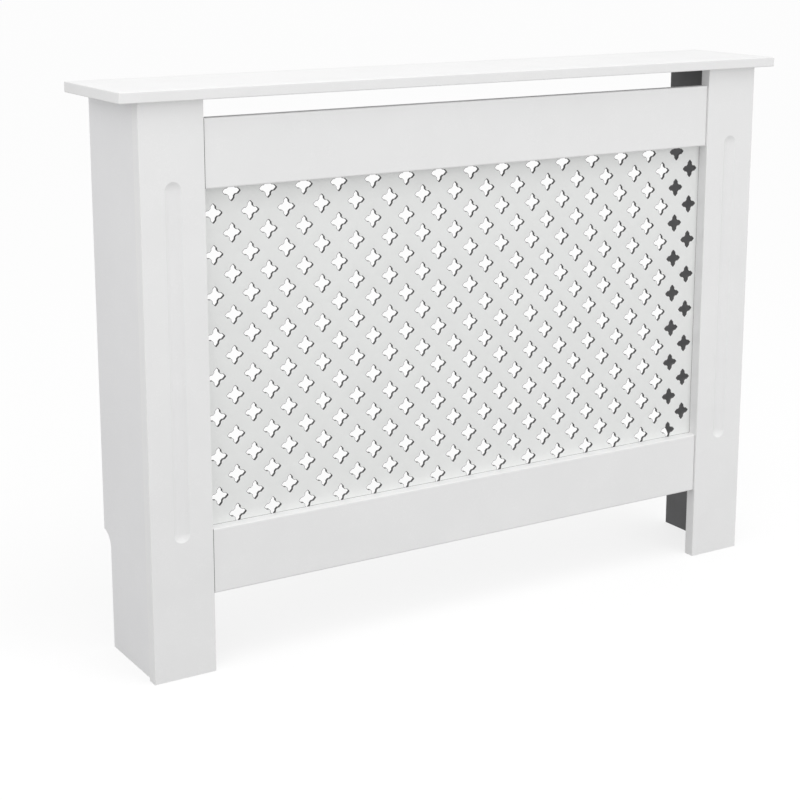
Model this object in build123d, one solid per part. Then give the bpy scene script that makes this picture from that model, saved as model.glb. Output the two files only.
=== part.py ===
"""Radiator cover cabinet: a white painted board carcass round a radiator, with a pierced front grille.

Frame: X to the right, Y to the wall behind, Z up from the floor, millimetres.
The origin is on the floor, midway along the width and the depth of the top board.
"""

import os

from build123d import *

# Overall sizes
TOP_WIDTH = 1120.0
DEPTH = 190.0
HEIGHT = 820.0
BODY_WIDTH = 1060.0

# Board thicknesses
TOP_THICK = 15.0
RAIL_THICK = 15.0
LEG_THICK = 18.0
SIDE_THICK = 18.0
GRILLE_THICK = 4.0

# Front layout
FRONT_OVERHANG = 12.0
SIDE_INSET = 4.0
LEG_WIDTH = 94.0
RAIL_HEIGHT = 95.0
LOWER_GAP = 114.0
TOP_SLOT = 26.0

# Notch in the back of each side panel, for the skirting board
NOTCH_DEPTH = 24.0
NOTCH_STRAIGHT = 150.0

# Softened edges
TOP_ROUND = 1.5
LEG_ROUND = 1.5
RAIL_ROUND = 2.5
SIDE_ROUND = 1.0

# Flute routed down the face of each leg board
FLUTE_WIDTH = 24.0
FLUTE_CUT = 4.0
FLUTE_LOW = 198.0
FLUTE_HIGH = 698.0

# Grille: pointed crosses on a diamond lattice, inside a plain border
GRILLE_BORDER = 22.0
COLUMN_STEP = 27.8
ROW_STEP = 28.5
PATTERN_HEIGHT = 448.5
OUTER_COLUMN = 15
OUTER_ROW = 8
CROSS_REACH = 15.1
CROSS_ARM_HALF = 5.0

# Wooden dowels
FIT_GAP = 0.05
DOWEL_RADIUS = 4.0
DOWEL_LENGTH = 30.0
DOWEL_CHAMFER = 1.0
LEG_DOWEL_HEIGHTS = (70.0, 295.0, 520.0, 745.0)
LEG_DOWEL_IN_LEG = 12.0
RAIL_DOWEL_OFFSET = 31.0
TOP_DOWEL_PLACES = (-48.0, 80.0)
TOP_DOWEL_IN_TOP = 10.0

# Cam fittings: a bolt screwed into one board is drawn in by a turning drum in the other
CAM_RADIUS = 7.5
CAM_HEIGHT = 12.0
CAM_FROM_JOINT = 34.0
CAM_POCKET_RADIUS = 3.9
CAM_SLOT_LENGTH = 10.0
CAM_SLOT_WIDTH = 1.6
CAM_SLOT_DEPTH = 2.0
BOLT_RADIUS = 3.0
BOLT_THREAD_LENGTH = 10.0
BOLT_COLLAR_RADIUS = 4.5
BOLT_COLLAR_THICK = 1.2
BOLT_NECK_RADIUS = 2.0
BOLT_NECK_LENGTH = 5.0
BOLT_HEAD_RADIUS = 3.4
BOLT_HEAD_LENGTH = 3.0
TOP_CAM_PLACE = 4.0

# Pan head screws
SCREW_RADIUS = 1.5
SCREW_HEAD_RADIUS = 3.5
SCREW_HEAD_HEIGHT = 2.2
SCREW_CROSS_LENGTH = 3.6
SCREW_CROSS_WIDTH = 0.9
SCREW_CROSS_DEPTH = 1.2
SCREW_CLEARANCE = 0.3
GRILLE_SCREW_LENGTH = 14.0
GRILLE_SCREW_EDGE = 10.0
GRILLE_SCREW_COLUMNS = (-15, -9, -3, 3, 9, 15)
GRILLE_SCREW_ROWS = (-4, 0, 4)
BRACKET_SCREW_LENGTH = 14.0

# Steel angle brackets that hold the cover to the wall
BRACKET_THICK = 2.0
BRACKET_HEIGHT = 20.0
BRACKET_SIDE_LEG = 46.0
BRACKET_WALL_LEG = 34.0
BRACKET_CORNER = 4.0
BRACKET_LEVEL = 730.0
BRACKET_SCREW_PLACES = (60.0, 80.0)
WALL_SLOT_LENGTH = 12.0
WALL_SLOT_RADIUS = 2.75
WALL_SLOT_IN = 20.0

# Planes and levels that follow from the sizes above
HALF_BODY = BODY_WIDTH / 2
BACK = DEPTH / 2
FRONT = -BACK + FRONT_OVERHANG
FRAME_BACK = FRONT + LEG_THICK
RAIL_FRONT = FRAME_BACK - RAIL_THICK
RAIL_MIDDLE = FRAME_BACK - RAIL_THICK / 2
GRILLE_BACK = FRAME_BACK + GRILLE_THICK
TOP_UNDERSIDE = HEIGHT - TOP_THICK
LEG_INNER = HALF_BODY - LEG_WIDTH
LEG_MIDDLE = HALF_BODY - LEG_WIDTH / 2
SIDE_OUTER = HALF_BODY - SIDE_INSET
SIDE_INNER = SIDE_OUTER - SIDE_THICK
SIDE_MIDDLE = SIDE_OUTER - SIDE_THICK / 2
LOWER_RAIL_BOTTOM = LOWER_GAP
LOWER_RAIL_TOP = LOWER_RAIL_BOTTOM + RAIL_HEIGHT
UPPER_RAIL_TOP = TOP_UNDERSIDE - TOP_SLOT
UPPER_RAIL_BOTTOM = UPPER_RAIL_TOP - RAIL_HEIGHT
RAIL_BOTTOMS = (UPPER_RAIL_BOTTOM, LOWER_RAIL_BOTTOM)
GRILLE_HALF_WIDTH = LEG_INNER + GRILLE_BORDER
GRILLE_BOTTOM = LOWER_RAIL_TOP - GRILLE_BORDER
GRILLE_TOP = UPPER_RAIL_BOTTOM + GRILLE_BORDER

SIDES = {"left": -1, "right": 1}
TO_RIGHT = Vector(1, 0, 0)
TO_WALL = Vector(0, 1, 0)
TO_FRONT = Vector(0, -1, 0)
UP = Vector(0, 0, 1)


# Plain shapes


def block(low, high):
    """A square-edged block between two opposite corners."""
    size = [top - bottom for bottom, top in zip(low, high)]
    return Pos(*low) * Box(*size, align=(Align.MIN, Align.MIN, Align.MIN))


def rod(start, direction, radius, length):
    """A round bar that runs from a point along a direction."""
    bar = Cylinder(radius, length, align=(Align.CENTER, Align.CENTER, Align.MIN))
    return Plane(origin=start, z_dir=direction) * bar


def without(board, tools):
    """A board with each of a list of shapes cut out of it."""
    for tool in tools:
        board = board - tool
    return board


def softened(board, radius, *tests):
    """A board whose straight edges that pass every test are rounded."""
    edges = [edge for edge in board.edges() if all(test(edge.center()) for test in tests)]
    return fillet(edges, radius)


def at(axis, place):
    """A test for edges whose middle lies at one place along an axis."""
    return lambda middle: abs(getattr(middle, axis) - place) < 0.01


# Dowels


def leg_dowel_starts(side):
    """Front ends of the dowels that join a leg board to its side panel."""
    front_end = FRAME_BACK - LEG_DOWEL_IN_LEG
    return [Vector(side * SIDE_MIDDLE, front_end, height) for height in LEG_DOWEL_HEIGHTS]


def rail_dowel_starts(rail_bottom, side):
    """Left-hand ends of the dowels between one end of a rail and the leg board beside it."""
    middle = rail_bottom + RAIL_HEIGHT / 2
    left_end = side * LEG_INNER - DOWEL_LENGTH / 2
    return [
        Vector(left_end, RAIL_MIDDLE, middle + offset)
        for offset in (-RAIL_DOWEL_OFFSET, RAIL_DOWEL_OFFSET)
    ]


def top_dowel_starts(side):
    """Lower ends of the dowels that stand in the top edge of a side panel."""
    lower_end = TOP_UNDERSIDE + TOP_DOWEL_IN_TOP - DOWEL_LENGTH
    return [Vector(side * SIDE_MIDDLE, y, lower_end) for y in TOP_DOWEL_PLACES]


def dowel(start, direction):
    """A round wooden dowel with chamfered ends."""
    body = rod(start, direction, DOWEL_RADIUS, DOWEL_LENGTH)
    return chamfer(body.edges().filter_by(GeomType.CIRCLE), DOWEL_CHAMFER)


def dowel_holes(starts, direction):
    """The holes for a row of dowels, in both boards at once."""
    return [rod(start, direction, DOWEL_RADIUS + FIT_GAP, DOWEL_LENGTH) for start in starts]


# Cam fittings: joint is the point on the bolt's axis where the two boards meet, to_cam the bolt's
# way from there to the drum, out the way the drum's face looks, and depth how far the bolt's axis
# lies below that face


def cam_bolt(joint, to_cam):
    """A steel bolt: thread in the neighbour board, collar at the joint, neck and head in the drum."""
    head_start = CAM_FROM_JOINT - BOLT_HEAD_LENGTH / 2
    neck_start = head_start - BOLT_NECK_LENGTH
    thread = rod(joint - to_cam * BOLT_THREAD_LENGTH, to_cam, BOLT_RADIUS, BOLT_THREAD_LENGTH)
    collar = rod(joint, to_cam, BOLT_COLLAR_RADIUS, BOLT_COLLAR_THICK)
    shank = rod(joint, to_cam, BOLT_RADIUS, neck_start)
    neck = rod(joint + to_cam * neck_start, to_cam, BOLT_NECK_RADIUS, BOLT_NECK_LENGTH)
    head = rod(joint + to_cam * head_start, to_cam, BOLT_HEAD_RADIUS, BOLT_HEAD_LENGTH)
    return thread + collar + shank + neck + head


def bolt_thread_hole(joint, to_cam):
    """The hole that a cam bolt screws into."""
    start = joint - to_cam * BOLT_THREAD_LENGTH
    return rod(start, to_cam, BOLT_RADIUS + FIT_GAP, BOLT_THREAD_LENGTH)


def cam_recess(joint, to_cam, out, depth):
    """What the drum's board loses: the drum's recess, the bolt's bore and its collar's sink."""
    face = joint + to_cam * CAM_FROM_JOINT + out * depth
    recess = rod(face - out * CAM_HEIGHT, out, CAM_RADIUS + FIT_GAP, CAM_HEIGHT)
    bore = rod(joint, to_cam, BOLT_HEAD_RADIUS + FIT_GAP, CAM_FROM_JOINT + BOLT_HEAD_LENGTH)
    sink = rod(joint, to_cam, BOLT_COLLAR_RADIUS + FIT_GAP, BOLT_COLLAR_THICK)
    return recess + bore + sink


def cam(joint, to_cam, out, depth):
    """A cast drum with a pocket for the bolt's head and a crossed screwdriver slot in its face."""
    axis_point = joint + to_cam * CAM_FROM_JOINT
    face = axis_point + out * depth
    drum = rod(face - out * CAM_HEIGHT, out, CAM_RADIUS, CAM_HEIGHT)
    pocket = rod(axis_point + to_cam * CAM_POCKET_RADIUS, -to_cam, CAM_POCKET_RADIUS, 2 * CAM_RADIUS)
    return drum - pocket - crossed_slot(face, out, CAM_SLOT_LENGTH, CAM_SLOT_WIDTH, CAM_SLOT_DEPTH)


def crossed_slot(face, out, length, width, depth):
    """Two crossed bars sunk into a face, as a cross-head screwdriver needs."""
    bar = Box(length, width, depth, align=(Align.CENTER, Align.CENTER, Align.MAX))
    return Plane(origin=face, z_dir=out) * (bar + Rot(0, 0, 90) * bar)


def rail_cam_places():
    """Joint, bolt way, face way and bolt depth of the fitting at each end of each rail."""
    return [
        (
            Vector(side * LEG_INNER, RAIL_MIDDLE, bottom + RAIL_HEIGHT / 2),
            -TO_RIGHT * side,
            TO_WALL,
            RAIL_THICK / 2,
        )
        for bottom in RAIL_BOTTOMS
        for side in SIDES.values()
    ]


def top_cam_places():
    """Joint, bolt way, face way and bolt depth of the fitting between the top and each side panel."""
    return [
        (Vector(side * SIDE_MIDDLE, TOP_CAM_PLACE, TOP_UNDERSIDE), -UP, -TO_RIGHT * side, SIDE_THICK / 2)
        for side in SIDES.values()
    ]


# Screws


def pan_screw(under_head, into, length):
    """A pan head screw with a cross recess."""
    out = -into
    head = rod(under_head, out, SCREW_HEAD_RADIUS, SCREW_HEAD_HEIGHT)
    crown = head.edges().filter_by(GeomType.CIRCLE).sort_by(lambda edge: edge.center().dot(out))[-1]
    head = fillet(crown, SCREW_HEAD_HEIGHT / 2)
    recess = crossed_slot(
        under_head + out * SCREW_HEAD_HEIGHT, out, SCREW_CROSS_LENGTH, SCREW_CROSS_WIDTH, SCREW_CROSS_DEPTH
    )
    return head + rod(under_head, into, SCREW_RADIUS, length) - recess


def pilot_hole(under_head, into, length):
    """The hole that a screw of this length leaves in a board."""
    return rod(under_head, into, SCREW_RADIUS + FIT_GAP, length)


def grille_screw_points():
    """Middles of the screw heads on the back of the grille."""
    low = GRILLE_BOTTOM + GRILLE_SCREW_EDGE
    high = GRILLE_TOP - GRILLE_SCREW_EDGE
    beside = GRILLE_HALF_WIDTH - GRILLE_SCREW_EDGE
    along_rails = [(column * COLUMN_STEP, z) for z in (low, high) for column in GRILLE_SCREW_COLUMNS]
    along_legs = [
        (side * beside, PATTERN_HEIGHT + row * ROW_STEP)
        for side in SIDES.values()
        for row in GRILLE_SCREW_ROWS
    ]
    return [Vector(x, GRILLE_BACK, z) for x, z in along_rails + along_legs]


def bracket_screw_points(side):
    """Middles of the screw heads on a wall bracket's side leg."""
    x = side * (SIDE_INNER - BRACKET_THICK)
    return [Vector(x, y, BRACKET_LEVEL) for y in BRACKET_SCREW_PLACES]


# Boards


def top_board():
    """The shelf, which overhangs the body in front and at both ends."""
    board = block((-TOP_WIDTH / 2, -BACK, TOP_UNDERSIDE), (TOP_WIDTH / 2, BACK, HEIGHT))
    board = softened(board, TOP_ROUND, lambda middle: middle.Y < BACK - 1)
    for side in SIDES.values():
        board = without(board, dowel_holes(top_dowel_starts(side), UP))
    return without(board, [bolt_thread_hole(joint, to_cam) for joint, to_cam, _, _ in top_cam_places()])


def flute(x):
    """A shallow round-bottomed groove with ball ends, cut into a leg's face."""
    radius = (FLUTE_WIDTH**2 / 4 + FLUTE_CUT**2) / (2 * FLUTE_CUT)
    axis_y = FRONT + FLUTE_CUT - radius
    end_inset = FLUTE_WIDTH / 2
    low = FLUTE_LOW + end_inset
    high = FLUTE_HIGH - end_inset
    trough = rod(Vector(x, axis_y, low), UP, radius, high - low)
    return trough + Pos(x, axis_y, low) * Sphere(radius) + Pos(x, axis_y, high) * Sphere(radius)


def leg_board(side):
    """A front leg: a fluted upright board with softened face edges."""
    outer = side * HALF_BODY
    inner = side * LEG_INNER
    board = block((min(outer, inner), FRONT, 0), (max(outer, inner), FRAME_BACK, TOP_UNDERSIDE))
    board = softened(board, LEG_ROUND, at("Y", FRONT), at("Z", TOP_UNDERSIDE / 2))
    board = board - flute(side * LEG_MIDDLE)
    board = without(board, dowel_holes(leg_dowel_starts(side), TO_WALL))
    for bottom in RAIL_BOTTOMS:
        board = without(board, dowel_holes(rail_dowel_starts(bottom, side), TO_RIGHT))
    bolt_holes = [
        bolt_thread_hole(joint, to_cam)
        for joint, to_cam, _, _ in rail_cam_places()
        if joint.X * side > 0
    ]
    screw_holes = [
        pilot_hole(point, TO_FRONT, GRILLE_SCREW_LENGTH)
        for point in grille_screw_points()
        if point.X * side > LEG_INNER
    ]
    return without(board, bolt_holes + screw_holes)


def side_profile():
    """A side panel's outline in depth and height; the notch's upper corner is one hollow sweep."""
    notch_front = BACK - NOTCH_DEPTH
    notch_top = NOTCH_STRAIGHT + NOTCH_DEPTH
    outline = Polyline(
        (notch_front, NOTCH_STRAIGHT),
        (notch_front, 0),
        (FRAME_BACK, 0),
        (FRAME_BACK, TOP_UNDERSIDE),
        (BACK, TOP_UNDERSIDE),
        (BACK, notch_top),
    )
    sweep = RadiusArc((BACK, notch_top), (notch_front, NOTCH_STRAIGHT), -NOTCH_DEPTH)
    return make_face(outline.edges() + sweep.edges())


def side_panel(side):
    """A side panel: it stands behind its leg board and carries the top's fittings."""
    face = Plane(origin=(side * SIDE_OUTER, 0, 0), x_dir=(0, 1, 0), z_dir=(1, 0, 0)) * side_profile()
    board = extrude(face, SIDE_THICK, dir=-TO_RIGHT * side)
    board = softened(board, SIDE_ROUND, at("X", side * SIDE_OUTER), lambda middle: middle.Y > BACK - 1)
    board = without(board, dowel_holes(leg_dowel_starts(side), TO_WALL))
    board = without(board, dowel_holes(top_dowel_starts(side), UP))
    board = without(board, [cam_recess(*place) for place in top_cam_places() if place[0].X * side > 0])
    pilot = BRACKET_SCREW_LENGTH
    return without(board, [pilot_hole(p, TO_RIGHT * side, pilot) for p in bracket_screw_points(side)])


def rail(bottom):
    """A cross rail between the leg boards, set back from their faces and rounded in front."""
    board = block((-LEG_INNER, RAIL_FRONT, bottom), (LEG_INNER, FRAME_BACK, bottom + RAIL_HEIGHT))
    board = softened(board, RAIL_ROUND, at("Y", RAIL_FRONT))
    for side in SIDES.values():
        board = without(board, dowel_holes(rail_dowel_starts(bottom, side), TO_RIGHT))
    middle = bottom + RAIL_HEIGHT / 2
    board = without(board, [cam_recess(*place) for place in rail_cam_places() if place[0].Z == middle])
    screw_holes = [
        pilot_hole(point, TO_FRONT, GRILLE_SCREW_LENGTH)
        for point in grille_screw_points()
        if bottom < point.Z < bottom + RAIL_HEIGHT
    ]
    return without(board, screw_holes)


# Grille


def cross_outline():
    """One opening: four arms of even width, each ending in a square point."""
    half = CROSS_ARM_HALF
    shoulder = CROSS_REACH - half
    arm = [(half, half), (half, shoulder), (0, CROSS_REACH), (-half, shoulder)]
    corners = [Vector(x, z).rotate(Axis.Z, 90 * turn) for turn in range(4) for x, z in arm]
    return Wire.make_polygon(corners)


def cross_places():
    """Lattice points: even columns hold even rows and odd columns odd rows."""
    return [
        (column * COLUMN_STEP, PATTERN_HEIGHT + row * ROW_STEP)
        for column in range(-OUTER_COLUMN, OUTER_COLUMN + 1)
        for row in range(-OUTER_ROW, OUTER_ROW + 1)
        if (column + row) % 2 == 0
    ]


def grille_panel():
    """The pierced panel fixed behind the legs and rails."""
    cross = cross_outline()
    screw_hole = Wire.make_circle(SCREW_RADIUS + SCREW_CLEARANCE)
    openings = [cross.moved(Pos(x, z)) for x, z in cross_places()]
    openings += [screw_hole.moved(Pos(point.X, point.Z)) for point in grille_screw_points()]
    height = GRILLE_TOP - GRILLE_BOTTOM
    border = Wire.make_rect(2 * GRILLE_HALF_WIDTH, height).moved(Pos(0, GRILLE_BOTTOM + height / 2))
    front = Plane(origin=(0, FRAME_BACK, 0), x_dir=(1, 0, 0), z_dir=(0, -1, 0))
    return Solid.extrude(front * Face(border, openings), TO_WALL * GRILLE_THICK)


# Wall brackets


def wall_slot(side):
    """The slot for the wall screw, lengthwise along the wall."""
    reach = WALL_SLOT_LENGTH / 2 - WALL_SLOT_RADIUS
    middle = Vector(side * (SIDE_INNER - WALL_SLOT_IN), BACK, BRACKET_LEVEL)
    ends = [
        rod(middle + TO_RIGHT * way * reach, TO_FRONT, WALL_SLOT_RADIUS, BRACKET_THICK)
        for way in (-1, 1)
    ]
    waist = Pos(*middle) * Box(
        2 * reach, BRACKET_THICK, 2 * WALL_SLOT_RADIUS, align=(Align.CENTER, Align.MAX, Align.CENTER)
    )
    return waist + ends


def wall_bracket(side):
    """A bent steel strip: one leg on the side panel, the other flat to the wall."""
    low = BRACKET_LEVEL - BRACKET_HEIGHT / 2
    high = BRACKET_LEVEL + BRACKET_HEIGHT / 2
    outer = side * SIDE_INNER
    inner = side * (SIDE_INNER - BRACKET_THICK)
    end = side * (SIDE_INNER - BRACKET_WALL_LEG)
    side_leg = block((min(outer, inner), BACK - BRACKET_SIDE_LEG, low), (max(outer, inner), BACK, high))
    wall_leg = block((min(outer, end), BACK - BRACKET_THICK, low), (max(outer, end), BACK, high))
    bracket = side_leg + wall_leg
    bracket = softened(bracket, 2 * BRACKET_THICK, at("X", outer), at("Y", BACK))
    bracket = softened(bracket, BRACKET_THICK, at("X", inner), at("Y", BACK - BRACKET_THICK))
    off_middle = lambda middle: abs(middle.Z - BRACKET_LEVEL) > 1
    bracket = softened(bracket, BRACKET_CORNER, at("X", end), off_middle)
    clearance = SCREW_RADIUS + SCREW_CLEARANCE
    holes = [rod(p, TO_RIGHT * side, clearance, BRACKET_THICK) for p in bracket_screw_points(side)]
    return without(bracket, holes + [wall_slot(side)])


# Assembly


def boards():
    """The wooden boards, one node each."""
    pieces = {
        "top_board": top_board(),
        "upper_rail": rail(UPPER_RAIL_BOTTOM),
        "lower_rail": rail(LOWER_RAIL_BOTTOM),
        "grille_panel": grille_panel(),
    }
    for name, side in SIDES.items():
        pieces[name + "_leg_board"] = leg_board(side)
        pieces[name + "_side_panel"] = side_panel(side)
    return pieces


def dowels():
    """The dowels, grouped by the joint that they make."""
    pieces = {}
    for name, side in SIDES.items():
        pieces[name + "_leg_dowels"] = [dowel(start, TO_WALL) for start in leg_dowel_starts(side)]
    for name, bottom in (("upper", UPPER_RAIL_BOTTOM), ("lower", LOWER_RAIL_BOTTOM)):
        starts = [start for side in SIDES.values() for start in rail_dowel_starts(bottom, side)]
        pieces[name + "_rail_dowels"] = [dowel(start, TO_RIGHT) for start in starts]
    starts = [start for side in SIDES.values() for start in top_dowel_starts(side)]
    pieces["top_dowels"] = [dowel(start, UP) for start in starts]
    return pieces


def cam_fittings():
    """The bolts and drums, grouped by the joint that they make."""
    pieces = {}
    for name, places in (("rail", rail_cam_places()), ("top", top_cam_places())):
        pieces[name + "_cam_bolts"] = [cam_bolt(joint, to_cam) for joint, to_cam, _, _ in places]
        pieces[name + "_cams"] = [cam(*place) for place in places]
    return pieces


def screws_and_brackets():
    """The wall brackets and the two sets of screws."""
    pieces = {
        "grille_screws": [
            pan_screw(point, TO_FRONT, GRILLE_SCREW_LENGTH) for point in grille_screw_points()
        ],
        "bracket_screws": [
            pan_screw(point, TO_RIGHT * side, BRACKET_SCREW_LENGTH)
            for side in SIDES.values()
            for point in bracket_screw_points(side)
        ],
    }
    for name, side in SIDES.items():
        pieces[name + "_wall_bracket"] = wall_bracket(side)
    return pieces


def node_shape(piece):
    """One shape for a node: a single piece as it is, or a list of like pieces as separate solids."""
    if isinstance(piece, list):
        return Compound([solid for each in piece for solid in each.solids()])
    return piece


def main():
    os.makedirs("parts", exist_ok=True)
    nodes = boards() | dowels() | cam_fittings() | screws_and_brackets()
    for name, piece in nodes.items():
        export_step(node_shape(piece), f"parts/{name}.step")


main()
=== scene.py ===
"""Radiator cover cabinet: white lacquered boards round a pierced grille, open at the back.

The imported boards, dowels, cams, screws and brackets keep their own meshes and get their finishes here.
The grille is made again, because its crosses have eased corners and a punched rim. X is to the right, Y to the
wall, Z up.
"""
import math

import bpy
import numpy as np
from bpy.props import FloatProperty, FloatVectorProperty, IntProperty, PointerProperty
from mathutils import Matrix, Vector


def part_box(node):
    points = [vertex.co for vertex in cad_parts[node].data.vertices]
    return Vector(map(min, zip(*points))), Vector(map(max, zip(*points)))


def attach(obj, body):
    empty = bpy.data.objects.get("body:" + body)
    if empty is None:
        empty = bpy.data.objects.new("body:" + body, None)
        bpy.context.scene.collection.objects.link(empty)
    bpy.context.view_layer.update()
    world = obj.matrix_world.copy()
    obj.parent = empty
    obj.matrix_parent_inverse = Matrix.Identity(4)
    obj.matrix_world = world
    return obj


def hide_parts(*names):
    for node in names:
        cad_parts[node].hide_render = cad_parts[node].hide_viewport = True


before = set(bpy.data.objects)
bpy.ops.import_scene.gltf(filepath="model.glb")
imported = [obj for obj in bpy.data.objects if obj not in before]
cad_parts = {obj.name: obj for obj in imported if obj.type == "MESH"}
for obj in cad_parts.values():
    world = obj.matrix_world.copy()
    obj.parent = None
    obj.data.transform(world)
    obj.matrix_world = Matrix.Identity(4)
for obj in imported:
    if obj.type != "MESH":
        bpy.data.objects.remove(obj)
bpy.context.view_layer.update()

bl_info = {
    "name": "Radiator cover cabinet",
    "version": (1, 0, 0),
    "blender": (4, 5, 0),
    "location": "View3D > Sidebar > Radiator cover",
    "description": "Dresses the radiator cover's boards, grille and fittings and lights them in a studio",
    "category": "Object",
}

# A face counts as past a plane that lies this far inside it, in metres
SKIN = 0.00005

# Nearly all values of a noise lie in this range
NOISE = (0.3, 0.7)


def linear(code):
    """The linear colour of an sRGB hex value such as "#E8E8E8"."""
    parts = [int(code[i:i + 2], 16) / 255 for i in (1, 3, 5)]
    return tuple(c / 12.92 if c <= 0.04045 else ((c + 0.055) / 1.055) ** 2.4 for c in parts)


def colour_property(name, code, description):
    """A colour the user can change, whose default is an sRGB hex value."""
    return FloatVectorProperty(
        name=name, description=description, subtype="COLOR", size=3, min=0, max=1, default=linear(code))


def length_property(name, millimetres, description):
    """A length the user can change, whose default is in millimetres."""
    return FloatProperty(
        name=name, description=description, subtype="DISTANCE", unit="LENGTH", min=0, precision=4,
        default=millimetres / 1000)


def place_property(name, default, description):
    """A place the user can change, in metres."""
    return FloatVectorProperty(
        name=name, description=description, subtype="XYZ", unit="LENGTH", size=3, default=default)


def angle_property(name, degrees, description):
    """An angle the user can change, whose default is in degrees."""
    return FloatProperty(
        name=name, description=description, subtype="ANGLE", unit="ROTATION", default=math.radians(degrees))


def count_property(name, default, description):
    """A count the user can change."""
    return IntProperty(name=name, description=description, min=1, default=default)


def share_property(name, default, description):
    """A share from 0 to 1 the user can change."""
    return FloatProperty(name=name, description=description, subtype="FACTOR", min=0, max=1, default=default)


def level_property(name, default, description):
    """A level or power the user can change, which is never below zero."""
    return FloatProperty(name=name, description=description, min=0, default=default)


class GrilleSizes(bpy.types.PropertyGroup):
    column_step: length_property("Column step", 27.8, "Distance between neighbouring columns of crosses")
    row_step: length_property("Row step", 28.5, "Distance between neighbouring rows of crosses")
    pattern_height: length_property("Pattern height", 448.5, "Height of the middle row of crosses above the floor")
    outer_column: count_property("Outer column", 15, "Number of the last column on either side of the middle one")
    outer_row: count_property("Outer row", 8, "Number of the last row above and below the middle one")
    reach: length_property("Cross reach", 15.1, "From the middle of a cross to where the sharp tip of an arm would be")
    arm_half: length_property("Half arm width", 5.0, "Half the width of a cross's arm")
    tip_radius: length_property("Tip radius", 2.0, "Rounding at the tip of each arm")
    shoulder_radius: length_property("Shoulder radius", 2.8, "Rounding where an arm starts to narrow")
    inner_radius: length_property("Inner radius", 1.6, "Rounding between two arms")
    rim_width: length_property("Rim width", 1.0, "Width of the punched rim round each cross, past the white coat")
    rim_depth: length_property("Rim depth", 0.12, "How far the rim slopes down into the cross")
    seam: length_property("Seam", 0.8, "Width of the dark seam between the grille and the boards round it")


class Finishes(bpy.types.PropertyGroup):
    lacquer: colour_property("Lacquer", "#EAEAEA", "White lacquer of the boards")
    side_lacquer: colour_property("Side lacquer", "#E8E8E9", "White lacquer of the side panels")
    grille_lacquer: colour_property("Grille lacquer", "#E6E7E6", "White coat on the front of the grille")
    backing: colour_property("Backing coat", "#717172", "Dark grey coat on the faces that look into the cabinet")
    hole_wall: colour_property("Hole walls", "#5A5A5A", "Dark sealed walls of the crosses")
    beech: colour_property("Beech", "#D9B98A", "Bare beech of the dowels")
    zinc: colour_property("Zinc plating", "#C9CBCE", "Bright zinc plating of screws, bolts and brackets")
    cast_zinc: colour_property("Cast zinc", "#A9ABAE", "Grey cast zinc of the cams")
    lacquer_roughness: share_property("Lacquer roughness", 0.42, "Roughness of the satin lacquer")


class Studio(bpy.types.PropertyGroup):
    camera_place: place_property("Camera place", (-1.428, -2.196, 1.039), "Where the camera stands")
    camera_turn: angle_property("Camera turn", 31.50, "How far the camera looks to the right of straight at the front")
    camera_tilt: angle_property("Camera tilt", -12.14, "How far the camera looks above the horizon")
    lens: FloatProperty(name="Lens", description="Focal length in millimetres on a 36 mm sensor", min=1, default=79.4)
    lens_shift: FloatProperty(
        name="Lens shift", description="Upright shift of the lens, as a share of the picture", default=-0.13)
    sky: level_property("Sky level", 0.91, "Strength of the even light from all round")
    front_place: place_property("Front softbox place", (0.8, -2.4, 0.5), "Where the softbox in front hangs")
    front_power: level_property("Front softbox power", 11.4, "Power of the softbox in front, in watts")
    left_place: place_property("Left softbox place", (-1.2, -0.5, 0.9), "Where the softbox on the left hangs")
    left_power: level_property("Left softbox power", 2.1, "Power of the softbox on the left, in watts")
    top_place: place_property("Top softbox place", (0.0, -0.8, 2.6), "Where the softbox overhead hangs")
    top_power: level_property("Top softbox power", 9.0, "Power of the softbox overhead, in watts")
    softbox: length_property("Softbox width", 1000.0, "Width of each square softbox")
    floor: colour_property("Floor", "#AAAAAA", "Pale floor under the cabinet, as it lights the cabinet")
    floor_seen: colour_property("Floor as seen", "#FFFFFF", "The same floor as the camera sees it")
    floor_glow: share_property(
        "Floor glow", 0.75, "Share of plain white in the floor as the camera sees it, which keeps the shadow light")


# Meshes


def mesh_piece(name, polygons, smooth_below=None):
    """A mesh from arrays of polygons, each array shaped (polygons, corners, 3) in metres.

    Corners closer than a micrometre are one vertex.
    """
    corners = np.concatenate([p.reshape(-1, 3) for p in polygons])
    micrometres = np.round(corners * 1e6)
    _, first, number = np.unique(micrometres, axis=0, return_index=True, return_inverse=True)
    counts = np.concatenate([np.full(len(p), p.shape[1]) for p in polygons])
    faces = np.split(number.ravel(), np.cumsum(counts)[:-1])
    mesh = bpy.data.meshes.new(name)
    mesh.from_pydata(corners[first].tolist(), [], [f.tolist() for f in faces])
    mesh.validate()
    if smooth_below is not None:
        mesh.polygons.foreach_set("use_smooth", np.ones(len(mesh.polygons), bool))
        mesh.set_sharp_from_angle(angle=smooth_below)
    piece = bpy.data.objects.new(name, mesh)
    bpy.context.collection.objects.link(piece)
    return piece


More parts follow.
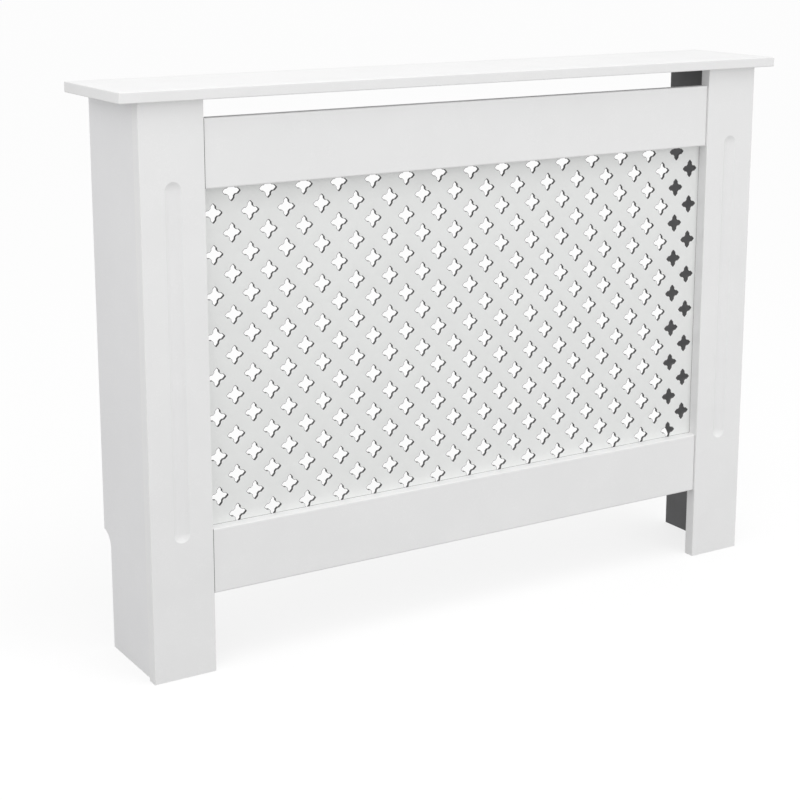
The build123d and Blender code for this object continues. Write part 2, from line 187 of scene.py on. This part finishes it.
def cross_outline(sizes, inset=0.0):
    """The outline of one cross, shaped (28, 2), anticlockwise seen from the front, from the middle of the right tip on.

    Each quarter has a tip, a shoulder, an inner corner and a shoulder. With u and v pointing from a corner along its
    two edges, t the angle between them, m their middle direction and s the direction from u to v, the rounding's centre
    is corner + m r / sin(t / 2), and its points are centre + r (s sin p - m cos p) for p from -(90 deg - t / 2) to
    +(90 deg - t / 2). An inset draws the outline into the opening on the same centres: it makes r smaller at the tips
    and shoulders and larger at the inner corners.
    """
    reach, half = sizes.reach, sizes.arm_half
    quarter = np.array([[reach, 0], [reach - half, half], [half, half], [half, reach - half]])
    turn = np.array([[0, 1], [-1, 0]])
    corners = np.concatenate([quarter @ np.linalg.matrix_power(turn, k) for k in range(4)])
    radii = np.tile([sizes.tip_radius, sizes.shoulder_radius, sizes.inner_radius, sizes.shoulder_radius], 4)
    to_last, to_next = np.roll(corners, 1, axis=0) - corners, np.roll(corners, -1, axis=0) - corners
    u = to_last / np.linalg.norm(to_last, axis=1, keepdims=True)
    v = to_next / np.linalg.norm(to_next, axis=1, keepdims=True)
    middle = (u + v) / np.linalg.norm(u + v, axis=1, keepdims=True)
    across = (v - u) / np.linalg.norm(v - u, axis=1, keepdims=True)
    half_angle = np.arccos((u * v).sum(1)) / 2
    centre = corners + middle * (radii / np.sin(half_angle))[:, None]
    radii = radii - inset * np.tile([1, 1, -1, 1], 4)

    # Tips are arcs of three points, inner corners of two, and the blunt shoulders are one point each
    corner = np.repeat(np.arange(16), np.tile([3, 1, 2, 1], 4))
    sweep = np.tile([-1, 0, 1, 0, -1, 1, 0], 4) * (math.pi / 2 - half_angle[corner])
    arcs = across[corner] * np.sin(sweep)[:, None] - middle[corner] * np.cos(sweep)[:, None]
    return np.roll(centre[corner] + radii[corner, None] * arcs, -1, axis=0)


def grille_polygons(sizes, box):
    """The polygons of the pierced panel, which fills the box.

    Crosses stand at (column a, row b) where column + row is even. Each owns the diamond from (-a, 0) to (a, 0) and
    (0, -b) to (0, b) round it; the diamonds fill the pattern, and the four border strips fill the rest of the panel up
    to its edges. Each quarter of a diamond outside its cross is one polygon on the front and one on the back. A sloping
    rim leads from the outline on the front to the narrower hole, whose walls go straight through.
    """
    (left, front, bottom), (right, back, top) = box
    a, b, middle = sizes.column_step, sizes.row_step, sizes.pattern_height
    last_column, last_row = sizes.outer_column, sizes.outer_row
    if (last_column + last_row) % 2 == 0:
        raise ValueError("the outer column and row can't both be odd or both even")
    half_width, half_height = (last_column + 1) * a, (last_row + 1) * b
    if half_width >= right or middle + half_height >= top or middle - half_height <= bottom:
        raise ValueError("the crosses run past the edge of the panel")

    columns, rows = np.meshgrid(np.arange(-last_column, last_column + 1), np.arange(-last_row, last_row + 1))
    kept = (columns + rows) % 2 == 0
    places = np.stack([columns[kept] * a, rows[kept] * b], axis=1)[:, None]

    def diamonds(outline):
        """The quarters of every diamond outside an outline."""
        tips = np.array([[a, 0], [0, b], [-a, 0], [0, -b]])
        steps = len(outline) // 4
        closed = np.concatenate([outline, outline[:1]])
        quarters = np.stack([
            np.concatenate([tips[[q, (q + 1) % 4]], closed[q * steps:(q + 1) * steps + 1][::-1]]) for q in range(4)
        ])
        return (places[:, None] + quarters[None]).reshape(-1, quarters.shape[1], 2)

    def at(points, depth):
        """Points of the panel's plane at one depth."""
        return np.stack([points[..., 0], np.full(points.shape[:-1], depth), points[..., 1] + middle], axis=-1)

    def band(near, near_depth, far, far_depth):
        """Quads between two outlines of every cross, or of the panel, each at its own depth."""
        near_end, far_end = np.roll(near, -1, axis=-2), np.roll(far, -1, axis=-2)
        quads = [at(near, near_depth), at(near_end, near_depth), at(far_end, far_depth), at(far, far_depth)]
        return np.stack(quads, axis=-2).reshape(-1, 4, 3)

    side = np.arange(last_row, -last_row - 1, -1)
    right_edge = np.stack([(last_column + side % 2) * a, side * b], axis=1)
    along = np.arange(-last_column, last_column + 1)
    top_edge = np.stack([along * a, (last_row + (along + 1) % 2) * b], axis=1)
    high, low = top - middle, bottom - middle
    strips = [
        np.concatenate([[[right, low], [right, high]], right_edge])[None],
        np.concatenate([[[right, high], [left, high]], top_edge])[None],
        np.concatenate([[[left, high], [left, low]], right_edge[::-1] * [-1, 1]])[None],
        np.concatenate([[[left, low], [right, low]], top_edge[::-1] * [1, -1]])[None],
    ]

    outline, hole = cross_outline(sizes), cross_outline(sizes, sizes.rim_width)
    rim_floor = front + sizes.rim_depth
    panel = np.array([[left, low], [left, high], [right, high], [right, low]])
    return [
        *(at(sheet, front) for sheet in (diamonds(outline), *strips)),
        *(at(sheet[:, ::-1], back) for sheet in (diamonds(hole), *strips)),
        band(places + outline, front, places + hole, rim_floor),
        band(places + hole, rim_floor, places + hole, back),
        band(panel, front, panel, back),
    ]


# Materials


def per(millimetres):
    """The scale that makes the parts of a pattern this size."""
    return 1000 / millimetres


def span(source, target=(0.0, 1.0)):
    """The inputs of a Map Range node that takes the source range to the target range."""
    return {"From Min": source[0], "From Max": source[1], "To Min": target[0], "To Max": target[1]}


def node(tree, kind, values=None, **settings):
    """Adds a node, sets its properties, and sets or links its inputs, given by name or number.

    A node given as a value means its first output.
    """
    made = tree.nodes.new(kind)
    for key, value in settings.items():
        setattr(made, key, value)
    for key, value in (values or {}).items():
        if isinstance(key, int):
            socket = made.inputs[key]
        else:
            socket = next(s for s in made.inputs if s.enabled and s.name == key)
        if isinstance(value, bpy.types.Node):
            value = next(s for s in value.outputs if s.enabled)
        if isinstance(value, bpy.types.NodeSocket):
            tree.links.new(value, socket)
        else:
            socket.default_value = value
    return made


def new_tree(name):
    """A new material, its empty node tree and the place of each point in it, in metres."""
    material = bpy.data.materials.new(name)
    material.use_nodes = True
    tree = material.node_tree
    tree.nodes.clear()
    return material, tree, node(tree, "ShaderNodeTexCoord").outputs["Object"]


def edge_distance(tree, place, box):
    """How far a point on a box's surface lies from the nearest edge of the box.

    It is the middle one of the point's distances to the box's faces along X, Y and Z.
    """
    low, high = np.array(box[0]), np.array(box[1])
    from_middle = node(tree, "ShaderNodeVectorMath", {0: place, 1: (low + high) / 2}, operation="SUBTRACT")
    size = node(tree, "ShaderNodeVectorMath", {0: from_middle}, operation="ABSOLUTE")
    depth = node(tree, "ShaderNodeVectorMath", {0: (high - low) / 2, 1: size}, operation="SUBTRACT")
    x, y, z = node(tree, "ShaderNodeSeparateXYZ", {0: depth}).outputs
    smaller = node(tree, "ShaderNodeMath", {0: x, 1: y}, operation="MINIMUM")
    larger = node(tree, "ShaderNodeMath", {0: x, 1: y}, operation="MAXIMUM")
    other = node(tree, "ShaderNodeMath", {0: larger, 1: z}, operation="MINIMUM")
    return node(tree, "ShaderNodeMath", {0: smaller, 1: other}, operation="MAXIMUM")


def past(tree, place, planes):
    """1 where a point lies past any of the planes and 0 elsewhere.

    A plane is an axis (0 to 2), a sign and a limit in metres.
    """
    parts = node(tree, "ShaderNodeSeparateXYZ", {0: place})
    mask = 0.0
    for axis, sign, limit in planes:
        side = "GREATER_THAN" if sign > 0 else "LESS_THAN"
        beyond = node(tree, "ShaderNodeMath", {0: parts.outputs[axis], 1: limit}, operation=side)
        mask = node(tree, "ShaderNodeMath", {0: mask, 1: beyond}, operation="MAXIMUM")
    return mask


def satin_lacquer(tree, place, colour, roughness, seed, box=None):
    """Satin white lacquer, sprayed and sanded on fibreboard: its colour, roughness and height in millimetres.

    The film is a little uneven, so the tone drifts slowly. The board's fibres swell under the first coat and print
    through as short pale threads, the spray leaves a fine orange peel, and the edges are rubbed a little paler and
    duller.
    """
    tone_range, fibre_gain, roughness_swing = (0.982, 1.008), 0.022, 0.04
    fibre_height, peel_height = 0.012, 0.03

    # Clouds of tone 90 mm across
    clouds = node(tree, "ShaderNodeTexNoise", {
        "Vector": place, "W": seed, "Scale": per(90), "Detail": 3.0}, noise_dimensions="4D")
    # Threads run where a 7 mm noise passes its middle value, in patches 30 mm across. Real ones are about 3 mm by
    # 0.1 mm, and these are coarser so that they show.
    weave = node(tree, "ShaderNodeTexNoise", {
        "Vector": place, "W": seed + 3, "Scale": per(7), "Detail": 2.0, "Distortion": 1.2}, noise_dimensions="4D")
    from_middle = node(tree, "ShaderNodeMath", {0: weave, 1: 0.5}, operation="SUBTRACT")
    off = node(tree, "ShaderNodeMath", {0: from_middle}, operation="ABSOLUTE")
    threads = node(tree, "ShaderNodeMapRange", {
        "Value": off, **span((0.0, 0.04), (1.0, 0.0))}, interpolation_type="SMOOTHSTEP")
    patches = node(tree, "ShaderNodeTexNoise", {
        "Vector": place, "W": seed + 5, "Scale": per(30), "Detail": 1.0}, noise_dimensions="4D")
    shown = node(tree, "ShaderNodeMapRange", {
        "Value": patches, **span((0.45, 0.6))}, interpolation_type="SMOOTHSTEP")
    fibres = node(tree, "ShaderNodeMath", {0: threads, 1: shown}, operation="MULTIPLY")
    # Orange peel with waves of 4 mm, about twice as coarse as real so that it shows
    peel = node(tree, "ShaderNodeTexNoise", {
        "Vector": place, "W": seed + 7, "Scale": per(4), "Detail": 2.0}, noise_dimensions="4D")

    tone = node(tree, "ShaderNodeMapRange", {"Value": clouds, **span(NOISE, tone_range)})
    pale = node(tree, "ShaderNodeMath", {0: fibres, 1: fibre_gain, 2: tone}, operation="MULTIPLY_ADD")
    shade = node(tree, "ShaderNodeVectorMath", {0: colour, "Scale": pale}, operation="SCALE")
    rough = node(tree, "ShaderNodeMapRange", {
        "Value": peel, **span(NOISE, (roughness - roughness_swing, roughness + roughness_swing))})
    if box is not None:
        # The rubbed edge is up to 3 mm wide and comes and goes every 20 mm
        edge_range, duller, paler = (0.0003, 0.003), 0.12, (1.03, 1.028, 1.02)
        rub = node(tree, "ShaderNodeTexNoise", {
            "Vector": place, "W": seed + 9, "Scale": per(20), "Detail": 3.0}, noise_dimensions="4D")
        near = node(tree, "ShaderNodeMapRange", {
            "Value": edge_distance(tree, place, box), **span(edge_range, (1.0, 0.0))}, interpolation_type="SMOOTHSTEP")
        worn = node(tree, "ShaderNodeMath", {0: near, 1: rub}, operation="MULTIPLY")
        rubbed = (*(part * gain for part, gain in zip(colour, paler)), 1)
        shade = node(tree, "ShaderNodeMix", {"Factor": worn, "A": shade, "B": rubbed}, data_type="RGBA")
        rough = node(tree, "ShaderNodeMath", {0: worn, 1: duller, 2: rough}, operation="MULTIPLY_ADD")
    ripple = node(tree, "ShaderNodeMath", {0: peel, 1: peel_height}, operation="MULTIPLY")
    height = node(tree, "ShaderNodeMath", {0: fibres, 1: fibre_height, 2: ripple}, operation="MULTIPLY_ADD")
    return shade, rough, height


def backing_coat(tree, place, colour, seed):
    """Dark grey water-based coat, rolled on bare fibreboard: its colour, roughness and height in millimetres.

    It is matt, with the stipple of the roller and slow patches where the board drank more of it.
    """
    tone_range, roughness_range = (0.86, 1.10), (0.62, 0.78)
    stipple_gain, stipple_height = 0.16, 0.05

    # Patches 60 mm across
    patches = node(tree, "ShaderNodeTexNoise", {
        "Vector": place, "W": seed, "Scale": per(60), "Detail": 4.0}, noise_dimensions="4D")
    # Stipple of 3 mm, as a short-pile roller leaves
    stipple = node(tree, "ShaderNodeTexNoise", {
        "Vector": place, "W": seed + 2, "Scale": per(3), "Detail": 2.0}, noise_dimensions="4D")
    tone = node(tree, "ShaderNodeMapRange", {"Value": patches, **span(NOISE, tone_range)})
    grain = node(tree, "ShaderNodeMath", {0: stipple, 1: stipple_gain, 2: tone}, operation="MULTIPLY_ADD")
    # Half of the stipple's gain comes off again, so that the tone stays the same on average
    even = node(tree, "ShaderNodeMath", {0: grain, 1: stipple_gain / 2}, operation="SUBTRACT")
    shade = node(tree, "ShaderNodeVectorMath", {0: colour, "Scale": even}, operation="SCALE")
    rough = node(tree, "ShaderNodeMapRange", {"Value": stipple, **span(NOISE, roughness_range)})
    return shade, rough, node(tree, "ShaderNodeMath", {0: stipple, 1: stipple_height}, operation="MULTIPLY")


def layered(tree, under, over, mask):
    """One coat where the mask is 0 and another where it is 1."""
    shade = node(tree, "ShaderNodeMix", {"Factor": mask, "A": under[0], "B": over[0]}, data_type="RGBA")
    rest = (
        node(tree, "ShaderNodeMix", {"Factor": mask, "A": a, "B": b}, data_type="FLOAT")
        for a, b in zip(under[1:], over[1:])
    )
    return shade, *rest


def finished(material, tree, look, **sockets):
    """Links a colour, roughness and height in millimetres to the material's shader.

    Other sockets of the shader are set as named.
    """
    bump = node(tree, "ShaderNodeBump", {"Height": look[2], "Strength": 1.0, "Distance": 0.001})
    values = {"Base Color": look[0], "Roughness": look[1], "Normal": bump}
    others = {key.replace("_", " "): value for key, value in sockets.items()}
    shader = node(tree, "ShaderNodeBsdfPrincipled", values | others)
    node(tree, "ShaderNodeOutputMaterial", {"Surface": shader})
    return material


def lacquered_fibreboard(name, box, seed, colour, dark_planes, white_planes=(), thick_planes=()):
    """Fibreboard with white lacquer outside and a dark coat inside. It gives a low sheen outside and matt faces inside.

    The dark coat lies past the dark planes but not past the white ones. Past the thick planes the lacquer has settled
    thicker and is whiter.
    """
    thick_gain = 0.07
    finishes = bpy.context.scene.cover_finishes
    material, tree, place = new_tree(name)
    shade, *rest = satin_lacquer(tree, place, tuple(colour), finishes.lacquer_roughness, seed, box)
    whiter = node(tree, "ShaderNodeMath", {
        0: past(tree, place, thick_planes), 1: thick_gain, 2: 1.0}, operation="MULTIPLY_ADD")
    white = node(tree, "ShaderNodeVectorMath", {0: shade, "Scale": whiter}, operation="SCALE"), *rest
    dark = backing_coat(tree, place, tuple(finishes.backing), seed + 20)
    mask = node(tree, "ShaderNodeMath", {
        0: past(tree, place, dark_planes), 1: past(tree, place, white_planes)}, operation="SUBTRACT", use_clamp=True)
    return finished(material, tree, layered(tree, white, dark, mask))


def pierced_hardboard(name, box, seed, seams):
    """Pierced hardboard: white coat on the front, dark sealed hole walls and the backing coat behind.

    The walls read as a soft dark rim inside each cross, and the seams past the given planes as fine dark lines.
    """
    # Real seams are about 0.4 mm wide, and these are twice as wide and half as dark so that they show as even lines
    seam_share = 0.5
    finishes = bpy.context.scene.cover_finishes
    material, tree, place = new_tree(name)
    white = satin_lacquer(tree, place, tuple(finishes.grille_lacquer), finishes.lacquer_roughness, seed)
    wall = backing_coat(tree, place, tuple(finishes.hole_wall), seed + 20)
    dark = backing_coat(tree, place, tuple(finishes.backing), seed + 30)
    # The white coat breaks off at the punched rim of each cross
    inside = layered(tree, white, wall, past(tree, place, [(1, 1, box[0][1] + SKIN)]))
    seam = node(tree, "ShaderNodeMath", {0: past(tree, place, seams), 1: seam_share}, operation="MULTIPLY")
    shaded = layered(tree, inside, wall, seam)
    return finished(material, tree, layered(tree, shaded, dark, past(tree, place, [(1, 1, box[1][1] - SKIN)])))


def turned_beech(name, axis):
    """Bare beech, turned and fluted into dowels: pale, with fine grain along the dowel and short darker ray flecks.

    It is matt.
    """
    tone_range, roughness_range, grain_height = (0.84, 1.06), (0.6, 0.75), 0.04
    fleck_range, fleck_share, fleck_tint = (0.6, 0.72), 0.5, (0.6, 0.5, 0.4)

    material, tree, place = new_tree(name)
    # Grain lines 0.7 mm apart and 12 mm long, and flecks of 0.5 mm by 2.5 mm
    patterns = []
    for across, along, detail in ((0.7, 12, 3.0), (0.5, 2.5, 1.0)):
        scale = [per(across)] * 3
        scale[axis] = per(along)
        stretched = node(tree, "ShaderNodeMapping", {"Vector": place, "Scale": scale})
        patterns.append(node(tree, "ShaderNodeTexNoise", {"Vector": stretched, "Scale": 1.0, "Detail": detail}))
    grain, flecks = patterns
    dark = node(tree, "ShaderNodeMapRange", {"Value": flecks, **span(fleck_range, (0.0, fleck_share))})
    colour = tuple(bpy.context.scene.cover_finishes.beech)
    tone = node(tree, "ShaderNodeMapRange", {"Value": grain, **span(NOISE, tone_range)})
    wood = node(tree, "ShaderNodeVectorMath", {0: colour, "Scale": tone}, operation="SCALE")
    fleck = (*(part * gain for part, gain in zip(colour, fleck_tint)), 1)
    shade = node(tree, "ShaderNodeMix", {"Factor": dark, "A": wood, "B": fleck}, data_type="RGBA")
    rough = node(tree, "ShaderNodeMapRange", {"Value": grain, **span(NOISE, roughness_range)})
    height = node(tree, "ShaderNodeMath", {0: grain, 1: grain_height}, operation="MULTIPLY")
    return finished(material, tree, (shade, rough, height))


def mottled_metal(name, colour, patch, grain, tone_range, roughness_range, grain_height):
    """A bare metal surface with dull and bright patches, and a fine grain in its height.

    Patch and grain are each a size in millimetres and a level of detail.
    """
    material, tree, place = new_tree(name)
    patches, fine = (
        node(tree, "ShaderNodeTexNoise", {"Vector": place, "Scale": per(size), "Detail": detail})
        for size, detail in (patch, grain)
    )
    tone = node(tree, "ShaderNodeMapRange", {"Value": patches, **span(NOISE, tone_range)})
    shade = node(tree, "ShaderNodeVectorMath", {0: tuple(colour), "Scale": tone}, operation="SCALE")
    rough = node(tree, "ShaderNodeMapRange", {"Value": patches, **span(NOISE, roughness_range)})
    height = node(tree, "ShaderNodeMath", {0: fine, 1: grain_height}, operation="MULTIPLY")
    return finished(material, tree, (shade, rough, height), Metallic=1.0)


def zinc_plated_steel(name):
    """Zinc-plated mild steel, stamped or rolled and barrel-plated: bright blue-grey with dull rubbed patches."""
    # Dull patches 4 mm across and a fine 0.5 mm grain
    return mottled_metal(
        name, bpy.context.scene.cover_finishes.zinc, patch=(4, 3.0), grain=(0.5, 2.0),
        tone_range=(0.86, 1.04), roughness_range=(0.42, 0.26), grain_height=0.004)


def die_cast_zinc(name):
    """Die-cast zinc alloy, tumbled: grey and dull, with a fine cast skin and brighter rubbed spots."""
    # Rubbed spots 3 mm across and a cast skin with a 0.8 mm grain
    return mottled_metal(
        name, bpy.context.scene.cover_finishes.cast_zinc, patch=(3, 2.0), grain=(0.8, 3.0),
        tone_range=(0.8, 1.08), roughness_range=(0.58, 0.4), grain_height=0.02)


def is_seen(tree):
    """1 for what the camera sees straight or by a mirror or glass, and 0 for what only lights other things."""
    ray = node(tree, "ShaderNodeLightPath")
    seen = ray.outputs["Is Camera Ray"]
    for way in ("Is Glossy Ray", "Is Transmission Ray"):
        seen = node(tree, "ShaderNodeMath", {0: seen, 1: ray.outputs[way]}, operation="MAXIMUM")
    return seen


def dress(name, material):
    """Gives a CAD node's object one material."""
    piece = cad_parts[name]
    if not piece.material_slots:
        raise RuntimeError(f"{name} has no material slot")
    for slot in piece.material_slots:
        slot.material = material


# Operators


class COVER_OT_front_boards(bpy.types.Operator):
    """Finish the top board, the two leg boards and the two rails"""

    bl_idname = "cover.front_boards"
    bl_label = "Front boards"

    def execute(self, context):
        end_line = 0.0017
        colour = context.scene.cover_finishes.lacquer
        left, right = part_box("left_side_panel"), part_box("right_side_panel")
        # The top board's underside is dark between the side panels and behind the legs
        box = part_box("top_board")
        dark_planes = [(2, -1, box[0][2] + SKIN)]
        outside = [(0, -1, left[1][0]), (0, 1, right[0][0]), (1, -1, left[0][1])]
        dress("top_board", lacquered_fibreboard(
            "White lacquered fibreboard top board", box, 0.0, colour, dark_planes, outside))
        # The backs of the legs and rails look into the cabinet, but not the strips of the legs beyond the side panels
        outside = [(0, -1, left[0][0]), (0, 1, right[1][0])]
        for seed, name in enumerate(("left_leg_board", "right_leg_board", "upper_rail", "lower_rail"), 1):
            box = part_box(name)
            dark_planes, thick_planes = [(1, 1, box[1][1] - SKIN)], []
            if name.endswith("rail"):
                # The rail's left end shows as a fine dark line beside the leg
                dark_planes.append((0, -1, box[0][0] + end_line))
                # The lacquer settled on the rail's top edge, which faced up under the spray
                thick_planes.append((2, 1, box[1][2] - SKIN))
            dress(name, lacquered_fibreboard(
                f"White lacquered fibreboard {name}", box, 10.0 * seed, colour, dark_planes, outside, thick_planes))
        return {"FINISHED"}


class COVER_OT_side_panels(bpy.types.Operator):
    """Finish the two side panels, white outside and dark inside"""

    bl_idname = "cover.side_panels"
    bl_label = "Side panels"

    def execute(self, context):
        colour = context.scene.cover_finishes.side_lacquer
        left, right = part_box("left_side_panel"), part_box("right_side_panel")
        for label, box, seed, inner_face in (
            ("left", left, 60.0, (0, 1, left[1][0] - SKIN)),
            ("right", right, 70.0, (0, -1, right[0][0] + SKIN)),
        ):
            dress(f"{label}_side_panel", lacquered_fibreboard(
                f"White lacquered fibreboard {label} side", box, seed, colour, [inner_face]))
        return {"FINISHED"}


class COVER_OT_grille(bpy.types.Operator):
    """Make the pierced grille with its eased crosses"""

    bl_idname = "cover.grille"
    bl_label = "Grille"

    def execute(self, context):
        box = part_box("grille_panel")
        polygons = grille_polygons(context.scene.cover_grille, box)
        grille = mesh_piece("pierced_grille", polygons, smooth_below=math.radians(50))
        # The coat stops just short of the legs and rails that the grille lies behind
        gap = context.scene.cover_grille.seam
        seams = [
            (0, -1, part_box("left_leg_board")[1][0] + gap),
            (0, 1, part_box("right_leg_board")[0][0] - gap),
            (2, -1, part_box("lower_rail")[1][2] + gap),
            (2, 1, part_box("upper_rail")[0][2] - gap),
        ]
        grille.data.materials.append(pierced_hardboard("White coated pierced hardboard", box, 80.0, seams))
        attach(grille, "root")
        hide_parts("grille_panel")
        return {"FINISHED"}


class COVER_OT_dowels(bpy.types.Operator):
    """Finish the beech dowels"""

    bl_idname = "cover.dowels"
    bl_label = "Dowels"

    def execute(self, context):
        for label, axis, names in (
            ("across the front", 0, ("upper_rail_dowels", "lower_rail_dowels")),
            ("from front to back", 1, ("left_leg_dowels", "right_leg_dowels")),
            ("upright", 2, ("top_dowels",)),
        ):
            material = turned_beech(f"Turned beech {label}", axis)
            for name in names:
                dress(name, material)
        return {"FINISHED"}


class COVER_OT_cams(bpy.types.Operator):
    """Finish the die-cast cams"""

    bl_idname = "cover.cams"
    bl_label = "Cams"

    def execute(self, context):
        material = die_cast_zinc("Die-cast zinc")
        for name in "rail_cams", "top_cams":
            dress(name, material)
        return {"FINISHED"}


class COVER_OT_steel_fittings(bpy.types.Operator):
    """Finish the cam bolts, screws and wall brackets"""

    bl_idname = "cover.steel_fittings"
    bl_label = "Bolts, screws and brackets"

    def execute(self, context):
        material = zinc_plated_steel("Zinc-plated steel")
        for name in (
            "rail_cam_bolts", "top_cam_bolts", "grille_screws", "bracket_screws",
            "left_wall_bracket", "right_wall_bracket",
        ):
            dress(name, material)
        return {"FINISHED"}


class COVER_OT_studio(bpy.types.Operator):
    """Make the floor, the light and the camera"""

    bl_idname = "cover.studio"
    bl_label = "Studio"

    def execute(self, context):
        studio = context.scene.cover_studio
        # The floor reaches far past the picture, and lies 0.2 mm low so that the feet don't share its plane
        reach, drop = 30.0, 0.0002
        corners = [[-reach, -reach, -drop], [reach, -reach, -drop], [reach, reach, -drop], [-reach, reach, -drop]]
        floor = mesh_piece("studio_floor", [np.array([corners])])
        # Where the floor is seen it is paler, and partly plain white, so that the shadow on it stays light
        material, tree, _ = new_tree("Matt studio floor")
        seen = is_seen(tree)
        colour = node(tree, "ShaderNodeMix", {
            "Factor": seen, "A": (*studio.floor, 1), "B": (*studio.floor_seen, 1)}, data_type="RGBA")
        matt = node(tree, "ShaderNodeBsdfDiffuse", {"Color": colour})
        white = node(tree, "ShaderNodeEmission", {"Color": (1, 1, 1, 1), "Strength": 1.0})
        glow = node(tree, "ShaderNodeMath", {0: seen, 1: studio.floor_glow}, operation="MULTIPLY")
        mixed = node(tree, "ShaderNodeMixShader", {0: glow, 1: matt, 2: white})
        node(tree, "ShaderNodeOutputMaterial", {"Surface": mixed})
        floor.data.materials.append(material)

        # The room is seen as plain white and lights the cabinet evenly
        world = bpy.data.worlds.new("Studio room")
        world.use_nodes = True
        tree = world.node_tree
        tree.nodes.clear()
        level = node(tree, "ShaderNodeMix", {"Factor": is_seen(tree), "A": studio.sky, "B": 1.0}, data_type="FLOAT")
        background = node(tree, "ShaderNodeBackground", {"Color": (1, 1, 1, 1), "Strength": level})
        node(tree, "ShaderNodeOutputWorld", {"Surface": background})
        context.scene.world = world

        # Three softboxes, turned to the middle of the grille
        middle = Vector((0, 0, context.scene.cover_grille.pattern_height))
        for name in "front", "left", "top":
            place, power = getattr(studio, f"{name}_place"), getattr(studio, f"{name}_power")
            light = bpy.data.lights.new(f"{name.capitalize()} softbox", "AREA")
            light.energy = power
            light.size = studio.softbox
            softbox = bpy.data.objects.new(light.name, light)
            softbox.location = place
            softbox.rotation_euler = (middle - Vector(place)).to_track_quat("-Z", "Y").to_euler()
            softbox.visible_camera = softbox.visible_glossy = False
            context.collection.objects.link(softbox)

        camera = bpy.data.objects.new("Camera", bpy.data.cameras.new("Camera"))
        camera.location = studio.camera_place
        camera.rotation_euler = (math.pi / 2 + studio.camera_tilt, 0, -studio.camera_turn)
        camera.data.lens = studio.lens
        camera.data.sensor_width = 36.0
        camera.data.shift_y = studio.lens_shift
        camera.data.clip_start, camera.data.clip_end = 0.05, 100.0
        context.collection.objects.link(camera)
        context.scene.camera = camera
        context.scene.view_settings.view_transform = "Standard"
        return {"FINISHED"}


OPERATORS = (
    COVER_OT_front_boards,
    COVER_OT_side_panels,
    COVER_OT_grille,
    COVER_OT_dowels,
    COVER_OT_cams,
    COVER_OT_steel_fittings,
    COVER_OT_studio,
)


class COVER_PT_panel(bpy.types.Panel):
    """Lists the steps that dress the radiator cover, and its sizes and colours"""

    bl_idname = "COVER_PT_panel"
    bl_label = "Radiator cover"
    bl_space_type = "VIEW_3D"
    bl_region_type = "UI"
    bl_category = "Radiator cover"

    def draw(self, context):
        for operator in OPERATORS:
            self.layout.operator(operator.bl_idname)
        for group in (context.scene.cover_grille, context.scene.cover_finishes, context.scene.cover_studio):
            box = self.layout.box()
            for name in group.bl_rna.properties.keys():
                if name not in ("rna_type", "name"):
                    box.prop(group, name)


CLASSES = (GrilleSizes, Finishes, Studio, *OPERATORS, COVER_PT_panel)
GROUPS = {"cover_grille": GrilleSizes, "cover_finishes": Finishes, "cover_studio": Studio}


def register():
    for cls in CLASSES:
        bpy.utils.register_class(cls)
    for name, group in GROUPS.items():
        setattr(bpy.types.Scene, name, PointerProperty(type=group))


def unregister():
    for name in GROUPS:
        delattr(bpy.types.Scene, name)
    for cls in reversed(CLASSES):
        bpy.utils.unregister_class(cls)


def main():
    """Registers the add-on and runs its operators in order."""
    register()
    for operator in OPERATORS:
        group, name = operator.bl_idname.split(".")
        getattr(getattr(bpy.ops, group), name)()


if __name__ == "__main__":
    main()
